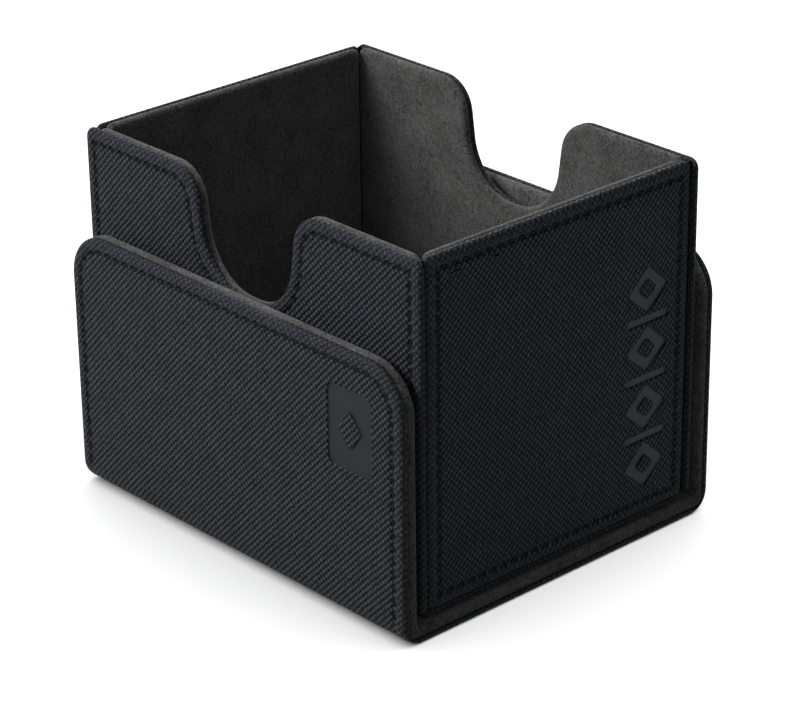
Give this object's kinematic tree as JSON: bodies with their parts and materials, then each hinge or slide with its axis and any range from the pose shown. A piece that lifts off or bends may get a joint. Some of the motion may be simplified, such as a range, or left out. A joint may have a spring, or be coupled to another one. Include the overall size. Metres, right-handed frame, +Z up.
{
  "type": "card deck box",
  "caption": "Side-loading deck box: a lined tray with finger notches for sleeved cards, docked in its removable U-shaped magnetic lid.",
  "frame": {"origin": "middle of the docked lid's underside, on the surface the box stands on", "axes": "+Z up, +X along the long notched walls, -Y out of the front flap"},
  "size_m": [0.1036, 0.0886, 0.0818],
  "materials": {
    "leatherette": "satin, fine embossed weave",
    "microfibre": "matt, napped",
    "greyboard": "matt cardboard",
    "thread": "matt",
    "steel": "satin",
    "magnet": "nickel plated"
  },
  "bodies": {
    "lid_base": {"back_fold_lining": "microfibre", "back_fold_skin": "leatherette", "front_fold_lining": "microfibre", "front_fold_skin": "leatherette", "lid_base_board": "greyboard", "lid_base_lining": "microfibre", "lid_base_skin": "leatherette"},
    "tray": {"back_wall_board": "greyboard", "back_wall_keeper_left": "steel", "back_wall_keeper_right": "steel", "back_wall_lining": "microfibre", "back_wall_skin": "leatherette", "back_wall_thread": "thread", "front_wall_board": "greyboard", "front_wall_keeper_left": "steel", "front_wall_keeper_right": "steel", "front_wall_lining": "microfibre", "front_wall_skin": "leatherette", "front_wall_thread": "thread", "left_end_board": "greyboard", "left_end_lining": "microfibre", "left_end_skin": "leatherette", "left_end_thread": "thread", "right_end_board": "greyboard", "right_end_lining": "microfibre", "right_end_skin": "leatherette", "right_end_thread": "thread", "tray_bottom_cover": "leatherette", "tray_floor_board": "greyboard", "tray_floor_lining": "microfibre"},
    "front_flap": {"front_flap_board": "greyboard", "front_flap_lining": "microfibre", "front_flap_magnet_left": "magnet", "front_flap_magnet_right": "magnet", "front_flap_skin": "leatherette", "front_flap_thread": "thread"},
    "back_flap": {"back_flap_board": "greyboard", "back_flap_lining": "microfibre", "back_flap_magnet_left": "magnet", "back_flap_magnet_right": "magnet", "back_flap_skin": "leatherette", "back_flap_thread": "thread"}
  },
  "joints": [
    {"name": "tray_lift", "type": "slide", "parent": "lid_base", "child": "tray", "axis": [0, 0, 1], "range_m": [0, 0.08]},
    {"name": "front_flap_fold", "type": "hinge", "parent": "lid_base", "child": "front_flap", "pos_m": [0, -0.04306, 0.00129], "axis": [1, 0, 0], "range_deg": [0, 90], "deforming": ["front_fold_skin", "front_fold_lining"]},
    {"name": "back_flap_fold", "type": "hinge", "parent": "lid_base", "child": "back_flap", "pos_m": [0, 0.04306, 0.00129], "axis": [-1, 0, 0], "range_deg": [0, 90], "deforming": ["back_fold_skin", "back_fold_lining"]}
  ]
}
